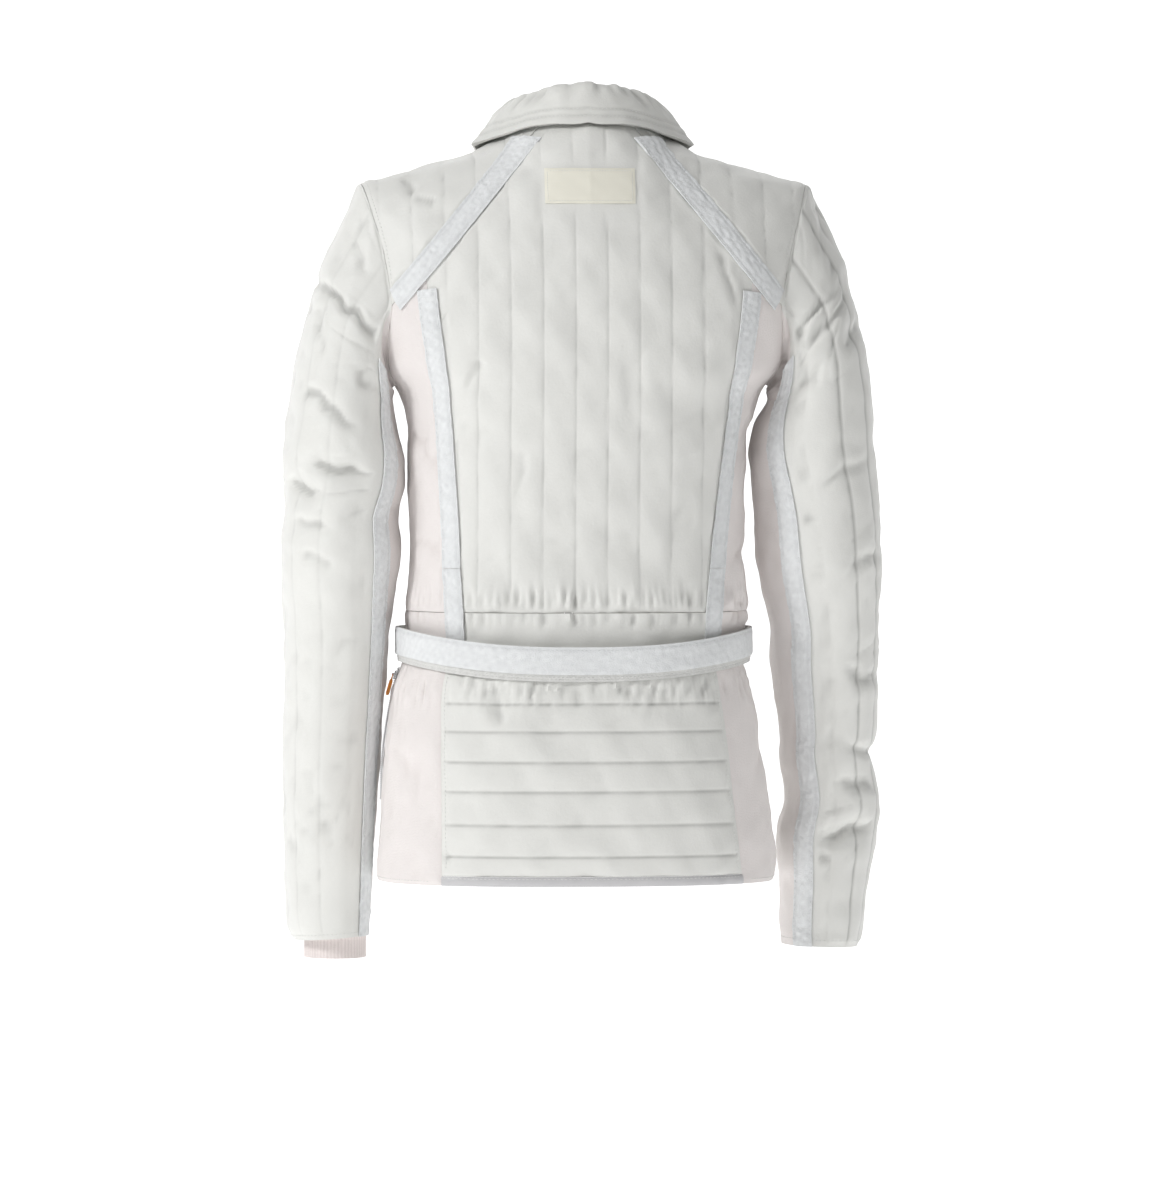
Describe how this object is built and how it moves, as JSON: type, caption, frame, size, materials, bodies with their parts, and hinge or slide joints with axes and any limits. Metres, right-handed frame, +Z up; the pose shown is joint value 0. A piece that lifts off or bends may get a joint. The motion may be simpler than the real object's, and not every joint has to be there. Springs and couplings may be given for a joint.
{
  "type": "fencing jacket",
  "caption": "Quilted fencing jacket in its worn shape, with turn-down collar, taped seams, belt, plain side panels, knit cuffs and a front zip.",
  "frame": {"origin": "inside the neck at the height of the shoulder points, where the wearer's shoulders hold the jacket up", "axes": "+Z up the wearer's back, -Y where the wearer faces, +X to the wearer's left"},
  "size_m": [0.5329, 0.2472, 0.7696],
  "materials": {
    "quilted_cloth": "satin-faced quilted cotton, light warm grey-white",
    "fleece_cloth": "matte brushed knit, blush off-white",
    "loop_tape": "matte looped tape, cool white",
    "belt_cloth": "plain woven backing, light grey",
    "collar_cloth": "padded cloth, light grey-white",
    "label_cloth": "bare woven label, cream",
    "cuff_knit": "ribbed knit, blush",
    "binding_satin": "satin strip, light",
    "zip_tape": "zip tape and teeth, grey",
    "slider_metal": "cast slider, grey metal",
    "orange_pull": "moulded pull tab, orange",
    "zip_pull": "pull tab, grey"
  },
  "bodies": {
    "jacket": {"back_panel": "quilted_cloth", "shoulder_left": "quilted_cloth", "shoulder_right": "quilted_cloth", "front_left": "quilted_cloth", "front_right": "quilted_cloth", "skirt_back": "quilted_cloth", "skirt_front_left": "quilted_cloth", "skirt_front_right": "quilted_cloth", "sleeve_left": "quilted_cloth", "sleeve_right": "quilted_cloth", "side_left": "fleece_cloth", "side_right": "fleece_cloth", "skirt_side_left": "fleece_cloth", "skirt_side_right": "fleece_cloth", "under_sleeve_left": "fleece_cloth", "under_sleeve_right": "fleece_cloth", "tape_diagonal_left": "loop_tape", "tape_diagonal_right": "loop_tape", "tape_side_left": "loop_tape", "tape_side_right": "loop_tape", "tape_waist_left": "loop_tape", "tape_waist_right": "loop_tape", "tape_sleeve_left": "loop_tape", "tape_sleeve_right": "loop_tape", "belt_face": "loop_tape", "belt_backing": "belt_cloth", "collar_fall": "collar_cloth", "collar_stand": "collar_cloth", "label": "label_cloth", "cuff_left": "cuff_knit", "cuff_right": "cuff_knit", "hem_binding": "binding_satin", "front_zip": "zip_tape", "pocket_zip": "zip_tape", "front_slider": "slider_metal", "pocket_slider": "slider_metal"},
    "front_tab": {"front_pull": "zip_pull"},
    "pocket_tab": {"pocket_pull": "orange_pull"}
  },
  "joints": [
    {"name": "front_pull_hinge", "type": "hinge", "parent": "jacket", "child": "front_tab", "pos_m": [-0.00011, -0.0883, -0.05678], "axis": [-1, 0.0058, 0.0025], "range_deg": [0, 120]},
    {"name": "pocket_pull_hinge", "type": "hinge", "parent": "jacket", "child": "pocket_tab", "pos_m": [0.16674, -0.01574, -0.46154], "axis": [-0.0886, -0.9961, -0.0048], "range_deg": [0, 8]}
  ]
}
